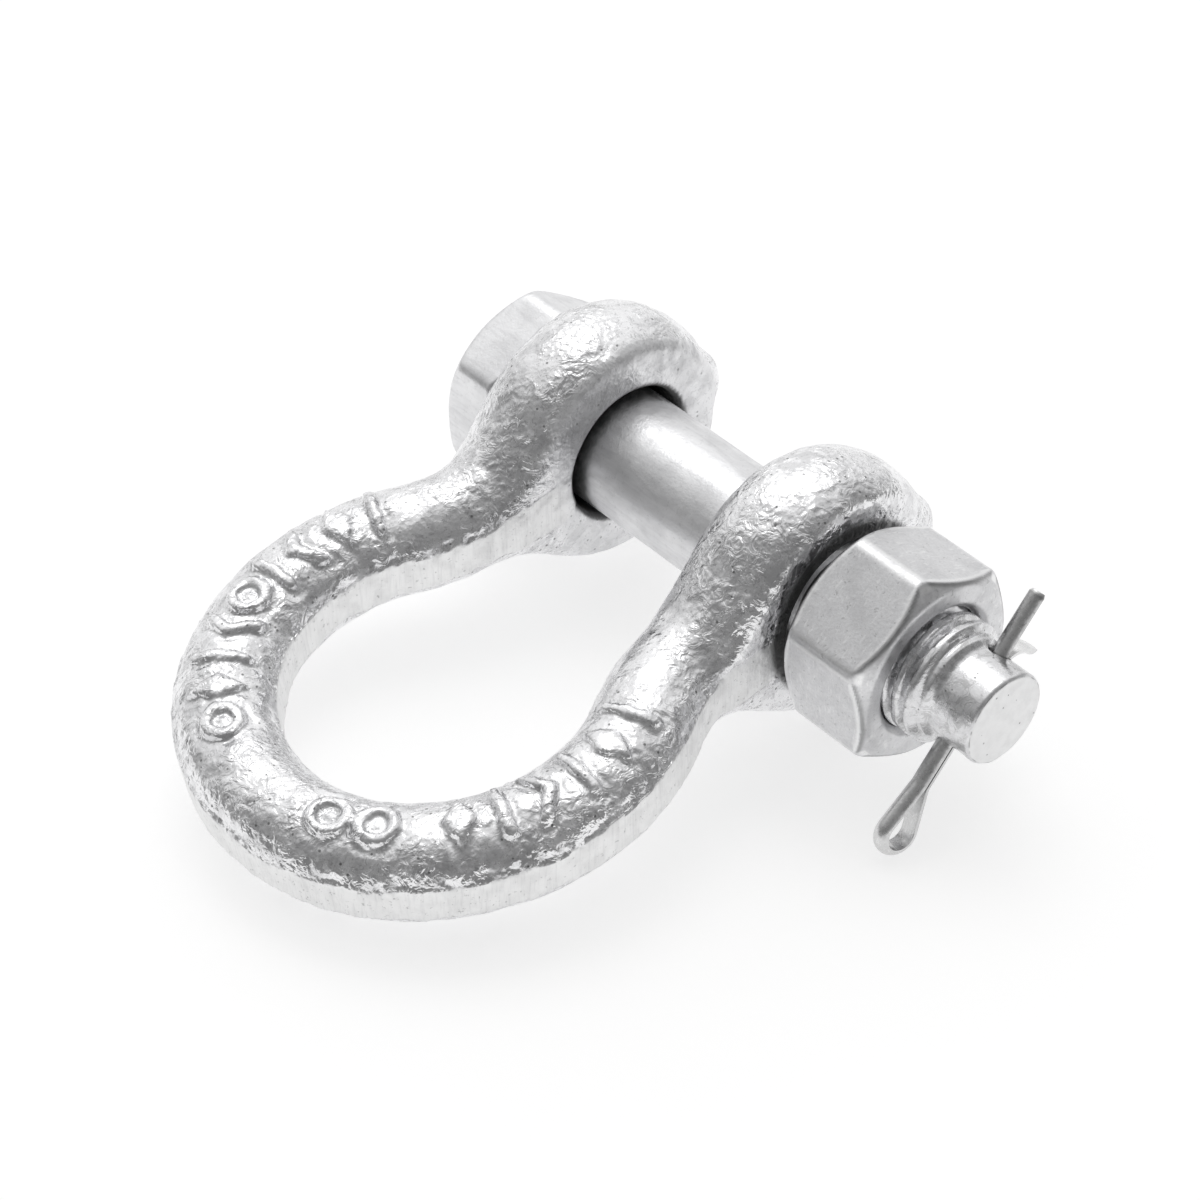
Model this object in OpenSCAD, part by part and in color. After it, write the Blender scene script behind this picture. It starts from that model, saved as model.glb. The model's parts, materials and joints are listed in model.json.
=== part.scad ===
// Bow shackle with bolt, hexagon nut and split pin.
// Millimetres. The origin is the bolt axis midway between the ears: +X towards the crown of the bow,
// +Y along the bolt towards the nut, +Z up. The floor that it rests on is z = -ear_d / 2.

/* [Bow] */
// Diameter of the forged bar
bar_d = 18.8; // [17:0.1:21]
// Centreline radii of the crown and of the neck bend added together
bend_sum = 65; // [62.4:1.3:67.6]
// Bolt axis to the inside of the crown
pin_to_crown = 83; // [80:0.5:92]
// Clear gap between the ears
jaw = 34; // [32:0.2:36]
// Outside diameter of an ear
ear_d = 47; // [45:0.2:50]
// Thickness of an ear along the bolt
ear_t = 18.8; // [18:0.2:20]
// Depth of the crowned rim of an ear
ear_crown = 5.5; // [4:0.5:7]
// How far the shoulder between ear and bar reaches
shoulder = 4; // [2:0.5:6]
// Bore through each ear
bore_d = 24.6; // [23.6:0.2:25.6]
// Bar width left between the two sheared flats
flat_w = 17.6; // [16.6:0.2:18.4]
// Height of the trimmed flash left on the ear tips
flash_h = 9; // [6:0.5:11]
// How far that flash stands out
flash_t = 1.1; // [0.4:0.1:1.6]
// Height of the raised forging marks
mark_t = 0.7; // [0.4:0.1:1]

/* [Bolt] */
// Plain shank diameter
pin_d = 22.4; // [21.6:0.1:23]
// Head width across flats
head_af = 32.4; // [30:0.2:36]
// Head thickness
head_t = 12.6; // [10:0.2:15]
// Axial play between head and ear
head_gap = 0.3; // [0.2:0.1:1]
// Thread major diameter
thread_d = 22; // [21:0.1:22.2]
// Thread pitch
pitch = 2.82; // [2:0.01:3]
// Diameter of the plain tip
tip_d = 16.8; // [15:0.2:18]
// Bolt centre to the end of the tip
bolt_end = 71.8; // [70:0.2:76]
// Hole for the split pin
cotter_hole_d = 4.8; // [4.4:0.1:5.2]
// Split pin to the end of the tip
cotter_inset = 6.8; // [6.4:0.1:7.2]
// Angle of one head corner from +X towards +Z
head_turn = 35; // [0:1:59]

/* [Nut] */
// Nut width across flats
nut_af = 32.8; // [30:0.2:36]
// Nut thickness
nut_t = 18.8; // [16:0.2:20]
// Gap between nut and ear
nut_gap = 1.9; // [0.5:0.1:3]
// Nut bore, clear of the thread crests
nut_bore_d = 22.3; // [22.3:0.1:22.6]
// Angle of one nut corner from +X towards +Z
nut_turn_angle = 23; // [0:1:59]

/* [Split pin] */
// Diameter of the closed legs
wire_d = 3.3; // [2.8:0.1:3.4]
// Angle of the legs above horizontal
cotter_angle = 47; // [30:1:50]
// Turn of the eye about the pin itself, 0 for an eye in line with the bolt
cotter_roll = -78; // [-90:1:-60]
// Bolt axis to the end of the straight leg
long_leg = 19.9; // [18:0.1:24]
// Bolt axis to the start of the bend in the short leg
bend_start = 6.8; // [6.8:0.1:8.6]
// Inside radius of that bend
bend_r = 3.2; // [3:0.1:4]
// Straight length past the bend
bend_tail = 0.3; // [0.3:0.1:3]
// Bolt axis to the end of the eye
eye_end = 29.2; // [28:0.1:30]
// Length of each straight flank of the eye
eye_run = 7.6; // [4:1.2:7.6]

/* [Hidden] */
$fn = 96;

bar_r = bar_d / 2;
ear_r = ear_d / 2;
bore_r = bore_d / 2;
bore_lead = 0.5;
ear_y = (jaw + ear_t) / 2;
ear_out = jaw / 2 + ear_t;
flash_inset = 2.5;
// The two bends meet on a line of slope 33:56:65, which keeps every joint of the bar exact.
bend_k = bend_sum / 65;
neck_r = 56 * bend_k - ear_y;
crown_r = bend_sum - neck_r;
crown_x = pin_to_crown - crown_r + bar_r;
neck_x = crown_x - 33 * bend_k;
rest_tilt = asin((ear_r - bar_r) / (crown_x + crown_r));

// The shoulder is a cone that starts inside the ear and ends just inside the bar, squashed along the bolt.
shoulder_x0 = ear_r - 4.5;
shoulder_x1 = ear_r - 0.5 + shoulder;
shoulder_r0 = sqrt(pow(ear_r, 2) - pow(shoulder_x0, 2)) - 1;
shoulder_r1 = bar_r - 1.1;
shoulder_squash = 0.72;

// Raised marks: half width across the bar, sizes along it, and angles round the crown.
mark_half_w = 5;
rib_size = [10.4, 2];
ring_r = [2.1, 3.8];
lozenge_half = 2.6;
rib_at = [112, 90, 68, -47, -79, -113];
lozenge_at = [101, 57, -36, -102];
chevron_at = [79, -58, -90];
ring_at = [36, 23, -24, -69];

pin_r = pin_d / 2;
thread_r = thread_d / 2;
root_r = thread_r - 0.6 * pitch;
tip_r = tip_d / 2;
head_y = -(ear_out + head_gap);
head_bevel = 3.2;
seat_bevel = 1;
nut_bevel = 2.4;
nut_lead = 1.3;
corner_cut = 0.5;
nut_y0 = ear_out + nut_gap;
nut_y1 = nut_y0 + nut_t;
// The thread starts inside the outer ear and shows beyond the nut.
thread_y0 = ear_out - 2;
thread_show = 4.2;
thread_turns = ceil((nut_y1 + thread_show - thread_y0) / pitch);
thread_y1 = thread_y0 + thread_turns * pitch;
cotter_y = bolt_end - cotter_inset;
// The pin lies towards the outer side of its hole.
cotter_hole_y = cotter_y - 0.35;

wire_r = wire_d / 2;
// The flanks open at a slope of 0.28:0.96, which keeps every joint of the wire exact.
eye_fillet = 5;
eye_r = (0.28 * eye_run + 0.04 * eye_fillet) / 0.96;
eye_c = eye_end - eye_r - wire_r;
eye_s0 = eye_c - 0.28 * (eye_r + eye_fillet) - 0.96 * eye_run;
zinc = [0.74, 0.75, 0.76];

// ---- helpers ----

// turns a shape drawn along +Z so that it lies along +Y
module along_y() {
    rotate([-90, 0, 0]) children();
}

// places a shape on both ears
module both_ears() {
    for (s = [-1, 1]) translate([0, s * ear_y, 0]) children();
}

// hexagonal prism along +Y from y0 to y1 with its corners bevelled at both ends
module hex_block(af, y0, y1, turn, bevel0, bevel1) {
    rc = af / sqrt(3) - corner_cut;
    translate([0, y0, 0]) along_y() intersection() {
        rotate([0, 0, -turn]) cylinder(h = y1 - y0, r = af / sqrt(3), $fn = 6);
        rotate_extrude() polygon([
            [0, 0],
            [rc - bevel0 * 1.3, 0],
            [rc, bevel0],
            [rc, y1 - y0 - bevel1],
            [rc - bevel1 * 1.3, y1 - y0],
            [0, y1 - y0]
        ]);
    }
}

// ---- bow ----

// section of the bar, x across the bow and y up: round with two sheared flats
module bar_section() {
    intersection() {
        circle(r = bar_r);
        square([flat_w, bar_d + 2], center = true);
    }
}

// one ear as a disc about the bolt axis with a crowned rim
module ear_disc() {
    h = ear_t / 2;
    along_y() rotate_extrude() {
        translate([0, -h]) square([ear_r - ear_crown, ear_t]);
        translate([ear_r - ear_crown, 0]) scale([ear_crown / h, 1]) circle(r = h);
    }
}

// flash left by the trimming die on the tip of an ear
module ear_flash() {
    intersection() {
        along_y() cylinder(r = ear_r + flash_t, h = ear_t - 2 * flash_inset, center = true);
        translate([-ear_d, -ear_t, -flash_h / 2]) cube([ear_d - bore_r + 1, 2 * ear_t, flash_h]);
    }
}

// shoulder where the bar widens into the ear
module ear_shoulder() {
    translate([shoulder_x0, 0, 0])
        scale([1, shoulder_squash, 1])
            rotate([0, 90, 0])
                cylinder(r1 = shoulder_r0, r2 = shoulder_r1, h = shoulder_x1 - shoulder_x0);
}

// straight arm and outward bend beyond one ear, on the +Y side
module arm() {
    translate([0, ear_y, 0]) rotate([90, 0, 90]) linear_extrude(height = neck_x) bar_section();
    translate([neck_x, ear_y + neck_r, 0])
        intersection() {
            rotate_extrude() translate([neck_r, 0]) bar_section();
            translate([0, 0, -bar_d]) linear_extrude(height = 2 * bar_d) polygon([
                [0, 0],
                [0, -56],
                [33, -56]
            ]);
        }
}

// big arc of the bow
module crown() {
    translate([crown_x, 0, 0])
        difference() {
            rotate_extrude() translate([crown_r, 0]) bar_section();
            translate([0, 0, -bar_d]) linear_extrude(height = 2 * bar_d) polygon([
                [0, 0],
                [-33, 56],
                [-66, 0],
                [-33, -56]
            ]);
        }
}

// outlines of the plain raised forging marks, x across the bar
module rib() {
    square(rib_size, center = true);
}

module ring() {
    difference() {
        circle(r = ring_r[1]);
        circle(r = ring_r[0]);
    }
}

module lozenge() {
    polygon([[-mark_half_w, 0], [0, -lozenge_half], [mark_half_w, 0], [0, lozenge_half]]);
}

module chevron() {
    polygon([
        [-mark_half_w, -2.8],
        [0, 0.2],
        [mark_half_w, -2.8],
        [mark_half_w, -0.4],
        [0, 2.6],
        [-mark_half_w, -0.4]
    ]);
}

// stands an outline up through the bar at each angle round the crown
module marks_at(angles) {
    for (a = angles)
        rotate([0, 0, a]) translate([crown_r, 0, 0]) linear_extrude(height = bar_r + 2) children();
}

// one row of marks along the top of the crown, raised evenly above the bar
module mark_row() {
    intersection() {
        rotate_extrude() translate([crown_r, 0]) circle(r = bar_r + mark_t);
        union() {
            marks_at(rib_at) rib();
            marks_at(lozenge_at) lozenge();
            marks_at(chevron_at) chevron();
            marks_at(ring_at) ring();
        }
    }
}

// bore with a small lead-in at both faces of an ear
module ear_bore() {
    h = ear_t / 2;
    along_y() rotate_extrude() polygon([
        [0, -h - 1],
        [bore_r + bore_lead + 1, -h - 1],
        [bore_r, -h + bore_lead],
        [bore_r, h - bore_lead],
        [bore_r + bore_lead + 1, h + 1],
        [0, h + 1]
    ]);
}

module bow() {
    color(zinc)
        rotate([0, rest_tilt, 0])
            difference() {
                union() {
                    crown();
                    translate([crown_x, 0, 0]) mark_row();
                    for (m = [0, 1]) mirror([0, m, 0]) arm();
                    both_ears() ear_disc();
                    both_ears() ear_flash();
                    both_ears() ear_shoulder();
                }
                both_ears() ear_bore();
            }
}

// ---- bolt ----

// outline of the turned bolt, radius against distance along +Y
module bolt_outline() {
    ridges = [for (i = [0 : thread_turns - 1]) for (k = [0 : 3])
        [
            k == 0 || k == 3 ? root_r : thread_r,
            thread_y0 + (i + [0.08, 0.42, 0.58, 0.92][k]) * pitch
        ]
    ];
    polygon(concat(
        [[0, head_y - 1], [pin_r, head_y - 1], [pin_r, thread_y0 - 2], [root_r, thread_y0]],
        ridges,
        [
            [root_r, thread_y1],
            [tip_r + 0.5, thread_y1 + 0.3],
            [tip_r, thread_y1 + 1],
            [tip_r, bolt_end - 0.6],
            [tip_r - 0.6, bolt_end],
            [0, bolt_end]
        ]
    ));
}

module bolt() {
    color(zinc * 0.96) {
        difference() {
            union() {
                along_y() rotate_extrude() bolt_outline();
                hex_block(head_af, head_y - head_t, head_y, head_turn, head_bevel, seat_bevel);
            }
            translate([0, cotter_hole_y, 0])
                rotate([0, cotter_angle + 90, 0])
                    cylinder(d = cotter_hole_d, h = 4 * tip_r, center = true, $fn = 48);
        }
    }
}

// ---- nut ----

module nut() {
    r = nut_bore_d / 2;
    color(zinc * 0.9)
        difference() {
            hex_block(nut_af, nut_y0, nut_y1, nut_turn_angle, nut_bevel, nut_bevel);
            along_y() rotate_extrude() polygon([
                [0, nut_y0 - 1],
                [r + nut_lead + 1, nut_y0 - 1],
                [r, nut_y0 + nut_lead],
                [r, nut_y1 - nut_lead],
                [r + nut_lead + 1, nut_y1 + 1],
                [0, nut_y1 + 1]
            ]);
        }
}

// ---- split pin ----
// drawn flat: x towards the eye, y along the bolt, flats of the half-round wire on y = 0

// half-round wire section, flat on x = 0 and round towards +x
module half_wire() {
    intersection() {
        circle(r = wire_r, $fn = 40);
        translate([0, -wire_r]) square([wire_r, 2 * wire_r]);
    }
}

// straight half-round wire from x0 to x1, round side towards +y
module half_leg(x0, x1) {
    translate([x0, 0, 0])
        rotate([90, 0, 90])
            linear_extrude(height = x1 - x0)
                half_wire();
}

// one flank of the eye: outward bend, then straight
module eye_side() {
    translate([eye_s0, eye_fillet, 0])
        intersection() {
            rotate_extrude() translate([eye_fillet, 0]) mirror([1, 0]) half_wire();
            translate([0, 0, -wire_d]) linear_extrude(height = 2 * wire_d) polygon([
                [0, 0],
                [0, -9.6],
                [2.8, -9.6]
            ]);
        }
    translate([eye_s0 + 0.28 * eye_fillet, 0.04 * eye_fillet, 0])
        multmatrix([[0.96, -0.28, 0, 0], [0.28, 0.96, 0, 0], [0, 0, 1, 0]])
            half_leg(0, eye_run);
}

// round end of the eye
module eye_end_bend() {
    translate([eye_c, 0, 0])
        difference() {
            rotate_extrude() translate([eye_r, 0]) half_wire();
            translate([0, 0, -wire_d]) linear_extrude(height = 2 * wire_d) polygon([
                [0, 0],
                [-2.8, 9.6],
                [-20, 0],
                [-2.8, -9.6]
            ]);
        }
}

// short leg bent over along the bolt
module bent_end() {
    flat_r = bend_r + wire_r;
    translate([-bend_start, flat_r, 0])
        intersection() {
            rotate_extrude() translate([flat_r, 0]) mirror([1, 0]) half_wire();
            translate([-4 * flat_r, -4 * flat_r, -wire_d]) cube([4 * flat_r, 4 * flat_r, 2 * wire_d]);
        }
    translate([-bend_start - flat_r, flat_r, 0])
        rotate([0, 0, -90])
            half_leg(-bend_tail, 0);
}

module cotter() {
    color(zinc * 0.7)
        translate([0, cotter_y, 0])
            rotate([cotter_roll, cotter_angle, 0])
                union() {
                    for (m = [0, 1]) mirror([0, m, 0]) eye_side();
                    eye_end_bend();
                    mirror([0, 1, 0]) half_leg(-long_leg, eye_s0);
                    half_leg(-bend_start, eye_s0);
                    bent_end();
                }
}

bow();
bolt();
nut();
cotter();
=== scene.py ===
"""Looks of a galvanised bow shackle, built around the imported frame.

The axes are the CAD's: X from the bolt towards the crown, Y along the bolt towards the nut, Z up.
Sizes are worked out in millimetres, and meshes are made in metres.
"""

import json
import math

import bmesh
import bpy
import numpy as np
import openvdb
from mathutils import Matrix, Vector


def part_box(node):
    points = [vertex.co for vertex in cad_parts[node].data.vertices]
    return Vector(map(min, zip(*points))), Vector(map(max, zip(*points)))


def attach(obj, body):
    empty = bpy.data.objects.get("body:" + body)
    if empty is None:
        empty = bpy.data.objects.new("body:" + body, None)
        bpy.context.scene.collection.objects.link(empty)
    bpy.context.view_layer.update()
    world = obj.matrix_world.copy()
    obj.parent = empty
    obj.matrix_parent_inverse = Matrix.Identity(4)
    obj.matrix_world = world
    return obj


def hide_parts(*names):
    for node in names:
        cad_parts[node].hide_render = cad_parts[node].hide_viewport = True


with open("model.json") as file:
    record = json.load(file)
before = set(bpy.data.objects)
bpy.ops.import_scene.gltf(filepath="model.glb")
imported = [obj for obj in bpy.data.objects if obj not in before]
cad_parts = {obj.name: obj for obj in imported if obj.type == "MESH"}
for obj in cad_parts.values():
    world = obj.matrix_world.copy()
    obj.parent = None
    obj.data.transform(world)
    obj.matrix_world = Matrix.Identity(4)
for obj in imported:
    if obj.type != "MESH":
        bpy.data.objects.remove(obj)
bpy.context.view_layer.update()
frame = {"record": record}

MM = 0.001
TAU = 2 * math.pi

# ---- sizes in millimetres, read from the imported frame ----


def box_mm(node):
    """lowest and highest corner of a CAD node, in millimetres"""
    low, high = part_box(node)
    return low / MM, high / MM


mounts = {mount["name"]: mount for mount in frame["record"]["mounts"]}
bow_low, _ = box_mm("bow")
bolt_low, bolt_high = box_mm("bolt")
nut_low, nut_high = box_mm("nut")

CROWN_POINT = Vector(mounts["bow_crown"]["pos_m"]) / MM
PIN_TO_CROWN = CROWN_POINT.length
REST_TILT = math.atan2(-CROWN_POINT.z, CROWN_POINT.x)
BAR_R = mounts["bow_crown"]["dims"]["r_mm"]
CROWN_R = mounts["bow_crown"]["dims"]["length_mm"] / 2 + BAR_R
PIN_R = mounts["jaw_pin"]["dims"]["r_mm"]
JAW = mounts["jaw_pin"]["dims"]["length_mm"]
FLOOR_Z = bow_low.z
EAR_R = -FLOOR_Z
HEAD_END = bolt_low.y
BOLT_END = bolt_high.y
NUT_Y0 = nut_low.y
NUT_Y1 = nut_high.y

# ---- sizes that the frame doesn't state, as in the CAD ----

# the bow: ears, bores, sheared flats, trimmed flash, raised marks, centres of the outward bends
EAR_T = 18.8
EAR_CROWN = 5.5
BORE_R = 12.3
HALF_FLAT = 8.8
FLASH_T = 1.1
FLASH_HALF_H = 4.5
MARK_T = 0.7
BEND_BACK = 33
BEND_OUT = 56

# the bolt and the nut: places along the bolt, hexagons across flats and their turns, thread, tip, cross hole
HEAD_Y = -36.1
HEAD_AF = 32.4
HEAD_TURN = math.radians(35)
NUT_AF = 32.8
NUT_TURN = math.radians(23)
NUT_BORE_R = 11.15
THREAD_R = 11.0
THREAD_ROOT_R = 9.6
PITCH = 2.82
THREAD_Y0 = 33.8
THREAD_Y1 = 62.0
TIP_R = 8.4
DRIP_ANGLE = math.radians(-75)
DRIP_HEIGHT = 0.35
HOLE_R = 2.4
HOLE_Y = 64.65

# the split pin: its axis, its direction across the bolt and its roll about itself
COTTER_Y = 65.0
COTTER_ANGLE = math.radians(47)
COTTER_ROLL = math.radians(-78)

EAR_Y = (JAW + EAR_T) / 2
CROWN_X = PIN_TO_CROWN - CROWN_R + BAR_R
NECK_X = CROWN_X - BEND_BACK
NECK_R = BEND_OUT - EAR_Y


# ---- small helpers ----


def new_mesh_object(name, verts_mm, faces):
    """an object with a mesh from points in millimetres"""
    mesh = bpy.data.meshes.new(name)
    mesh.from_pydata((np.asarray(verts_mm) * MM).tolist(), [], faces)
    mesh.validate()
    mesh.update()
    piece = bpy.data.objects.new(name, mesh)
    bpy.context.scene.collection.objects.link(piece)
    return piece


def finish_piece(piece, body, node, material, smooth_angle=None):
    """smooth shading and material; the piece stands for a CAD node and rides on its body"""
    mesh = piece.data
    mesh.polygons.foreach_set("use_smooth", np.ones(len(mesh.polygons), bool))
    if smooth_angle is not None:
        mesh.set_sharp_from_angle(angle=math.radians(smooth_angle))
    mesh.materials.clear()
    mesh.materials.append(material)
    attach(piece, body)
    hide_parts(node)


def add_attribute(piece, name, values):
    """a number at each point of the mesh, which a material reads by name"""
    attribute = piece.data.attributes.new(name, "FLOAT", "POINT")
    attribute.data.foreach_set("value", values.astype(np.float32))


def smooth_min(a, b, k):
    """the smaller of two distances, blended where they differ by less than k"""
    h = np.maximum(k - np.abs(a - b), 0) / k
    return np.minimum(a, b) - h * h * k / 4


def smooth_max(a, b, k):
    """the larger of two distances, blended where they differ by less than k"""
    return -smooth_min(-a, -b, k)


def smoothstep(low, high, x):
    """0 at low and 1 at high with a soft start and end; low may be the larger one"""
    t = np.clip((x - low) / (high - low), 0, 1)
    return t * t * (3 - 2 * t)


def lattice_noise(points, size, seed):
    """smooth noise from -1 to 1 with lumps of about that size"""
    rng = np.random.RandomState(seed)
    perm = rng.permutation(256)
    perm = np.concatenate([perm, perm])
    values = rng.uniform(-1, 1, 256).astype(np.float32)
    p = points / size + rng.uniform(0, 64, 3)
    cell = np.floor(p).astype(np.int64)
    t = (p - cell).astype(np.float32)
    t = t * t * (3 - 2 * t)
    cell &= 255
    total = np.zeros(len(points), np.float32)
    for dx in (0, 1):
        wx = t[:, 0] if dx else 1 - t[:, 0]
        hx = perm[(cell[:, 0] + dx) & 255]
        for dy in (0, 1):
            wy = t[:, 1] if dy else 1 - t[:, 1]
            hy = perm[(hx + cell[:, 1] + dy) & 255]
            for dz in (0, 1):
                wz = t[:, 2] if dz else 1 - t[:, 2]
                hz = perm[(hy + cell[:, 2] + dz) & 255]
                total += wx * wy * wz * values[hz]
    return total


# ---- materials ----


class Nodes:
    """a short way to write a node material"""

    def __init__(self, name):
        self.material = bpy.data.materials.new(name)
        self.material.use_nodes = True
        self.tree = self.material.node_tree
        self.shader = self.tree.nodes["Principled BSDF"]
        coordinates = self.tree.nodes.new("ShaderNodeTexCoord")
        self.place = coordinates.outputs["Object"]

    def link(self, a, b):
        self.tree.links.new(a, b)

    def stretch(self, scale):
        """coordinates for a pattern that is drawn out along the axes with a small scale"""
        node = self.tree.nodes.new("ShaderNodeMapping")
        node.inputs["Scale"].default_value = scale
        self.link(self.place, node.inputs["Vector"])
        return node.outputs["Vector"]

    def noise(self, size_mm, detail=3.0, rough=0.55, distort=0.0, place=None):
        """cloudy noise about 0.5 with lumps of that size"""
        node = self.tree.nodes.new("ShaderNodeTexNoise")
        node.inputs["Scale"].default_value = 1 / (size_mm * MM)
        node.inputs["Detail"].default_value = detail
        node.inputs["Roughness"].default_value = rough
        node.inputs["Distortion"].default_value = distort
        self.link(place or self.place, node.inputs["Vector"])
        return node.outputs["Fac"]

    def cells(self, size_mm):
        """distance to the middle of the nearest of many scattered cells"""
        node = self.tree.nodes.new("ShaderNodeTexVoronoi")
        node.inputs["Scale"].default_value = 1 / (size_mm * MM)
        self.link(self.place, node.inputs["Vector"])
        return node.outputs["Distance"]

    def attribute(self, name):
        node = self.tree.nodes.new("ShaderNodeAttribute")
        node.attribute_name = name
        return node.outputs["Fac"]

    def math(self, op, a, b=None, clamp=False):
        node = self.tree.nodes.new("ShaderNodeMath")
        node.operation = op
        node.use_clamp = clamp
        for socket, value in zip(node.inputs, (a, b)):
            if value is None:
                continue
            if isinstance(value, (int, float)):
                socket.default_value = value
            else:
                self.link(value, socket)
        return node.outputs[0]

    def times(self, a, b):
        return self.math("MULTIPLY", a, b)

    def plus(self, a, b):
        return self.math("ADD", a, b)

    def span(self, value, low, high, to_low=0.0, to_high=1.0):
        """a soft step in value from low to high"""
        node = self.tree.nodes.new("ShaderNodeMapRange")
        node.interpolation_type = "SMOOTHSTEP"
        node.inputs["From Min"].default_value = low
        node.inputs["From Max"].default_value = high
        node.inputs["To Min"].default_value = to_low
        node.inputs["To Max"].default_value = to_high
        self.link(value, node.inputs["Value"])
        return node.outputs["Result"]

    def mix(self, fac, a, b):
        """color a where fac is 0 and color b where it is 1"""
        node = self.tree.nodes.new("ShaderNodeMix")
        node.data_type = "RGBA"
        color_a, color_b = node.inputs[6], node.inputs[7]
        for socket, value in ((node.inputs["Factor"], fac), (color_a, a), (color_b, b)):
            if isinstance(value, (int, float)):
                socket.default_value = value
            elif isinstance(value, tuple):
                socket.default_value = (*value, 1)
            else:
                self.link(value, socket)
        return node.outputs[2]

    def bump(self, height, strength, distance_mm, normal=None):
        """a normal for lumps that stand distance_mm high, on top of another normal"""
        node = self.tree.nodes.new("ShaderNodeBump")
        if isinstance(strength, (int, float)):
            node.inputs["Strength"].default_value = strength
        else:
            self.link(strength, node.inputs["Strength"])
        node.inputs["Distance"].default_value = distance_mm * MM
        self.link(height, node.inputs["Height"])
        if normal is not None:
            self.link(normal, node.inputs["Normal"])
        return node.outputs["Normal"]

    def finish(self, color, roughness, normal):
        """the metal's inputs; returns the material"""
        self.link(color, self.shader.inputs["Base Color"])
        self.link(roughness, self.shader.inputs["Roughness"])
        self.link(normal, self.shader.inputs["Normal"])
        self.shader.inputs["Metallic"].default_value = 1.0
        return self.material


def tone(level, blue=0.0):
    """a neutral colour, a touch cooler where blue is given"""
    return (level, level, level + blue)


def bow_zinc():
    """hot-dip zinc: crumpled and shiny, with painted shade inside the bores and in a ring under the nut and
    the head, pale and streaky where it was sheared
    """
    m = Nodes("bow_zinc")
    band = m.attribute("band")
    painted_shade = m.attribute("painted_shade")
    jaw_face = m.attribute("jaw_face")
    bright = tone(0.86, 0.01)
    grey = tone(0.50, 0.01)
    dark = tone(0.13)
    patches = m.span(m.noise(5.0, 5, 0.65, 0.8), 0.47, 0.58)
    specks = m.span(m.noise(0.8, 2, 0.6, 1.2), 0.58, 0.64)
    pits = m.span(m.cells(2.2), 0.13, 0.08)
    color = m.mix(m.times(patches, 0.40), bright, grey)
    color = m.mix(m.times(specks, 0.60), color, grey)
    color = m.mix(m.times(pits, 0.75), color, dark)
    color = m.mix(m.times(jaw_face, 0.4), color, tone(0.70, 0.01))
    shear = m.noise(0.5, 3, 0.6, 0.0, m.stretch((1, 1, 0.06)))
    flecks = m.span(m.noise(0.9, 3, 0.7, 0.3), 0.62, 0.68)
    pale = m.mix(m.span(shear, 0.45, 0.75, 0, 0.35), tone(0.86), tone(0.62, 0.01))
    pale = m.mix(m.times(flecks, 0.6), pale, tone(0.40))
    color = m.mix(band, color, pale)
    # painted shade: dark inside the bores and in the ring under the nut and the head
    color = m.mix(m.times(painted_shade, 0.85), color, dark)
    rough = m.span(m.noise(3.0, 3, 0.6), 0.38, 0.66, 0.13, 0.33)
    rough = m.plus(rough, m.times(m.math("MAXIMUM", band, jaw_face), 0.25))
    rough = m.plus(rough, m.times(painted_shade, 0.30))
    crumpled = m.span(m.noise(9.0, 3, 0.6), 0.40, 0.58, 0.14, 1.0)
    crumpled = m.times(crumpled, m.span(band, 0.0, 1.0, 1.0, 0.25))
    crumpled = m.times(crumpled, m.span(jaw_face, 0.0, 1.0, 1.0, 0.45))
    folds = m.times(m.noise(2.3, 2, 0.5, 2.2), crumpled)
    facets = m.times(m.cells(1.5), crumpled)
    normal = m.bump(folds, 1.0, 0.33)
    normal = m.bump(facets, 1.0, 0.13, normal)
    normal = m.bump(m.cells(0.85), 0.8, 0.06, normal)
    normal = m.bump(m.noise(0.9, 2, 0.6), 0.6, 0.06, normal)
    return m.finish(color, rough, normal)


def satin_zinc(name, bright, grey, glint_color, rough_range, bump_mm, along):
    """smoother zinc of nut and split pin: clouds, grain, specks, fine scratches along the axes with a small
    scale, a painted highlight where the attribute of painted light is above 0 and painted shade where it is
    below"""
    m = Nodes(name)
    clouds = m.span(m.noise(7.0, 3, 0.55, 0.3), 0.40, 0.68)
    specks = m.span(m.noise(0.8, 3, 0.7), 0.61, 0.68)
    scratches = m.span(m.noise(0.6, 3, 0.6, 0.2, m.stretch(along)), 0.57, 0.68)
    grain = m.span(m.noise(0.5, 4, 0.75), 0.38, 0.66)
    color = m.mix(m.times(clouds, 0.35), bright, grey)
    color = m.mix(m.times(grain, 0.35), color, grey)
    color = m.mix(m.times(specks, 0.50), color, tone(0.34))
    color = m.mix(m.times(scratches, 0.35), color, tone(0.94))
    # painted highlight where this is above 0 and painted shade where it is below 0, set on the mesh
    painted_light = m.attribute("painted_light")
    color = m.mix(m.math("MULTIPLY", painted_light, 0.75, clamp=True), color, glint_color)
    color = m.mix(m.math("MULTIPLY", painted_light, -0.60, clamp=True), color, tone(0.14))
    rough = m.span(m.noise(1.8, 4, 0.6), 0.35, 0.7, *rough_range)
    rough = m.math("SUBTRACT", rough, m.math("MULTIPLY", painted_light, 0.08, clamp=True))
    lumps = m.bump(m.noise(2.0, 4, 0.6, 0.3), 0.5, bump_mm)
    fine = m.bump(m.noise(0.5, 2, 0.6), 0.5, 0.05, lumps)
    return m.finish(color, rough, fine)


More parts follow.
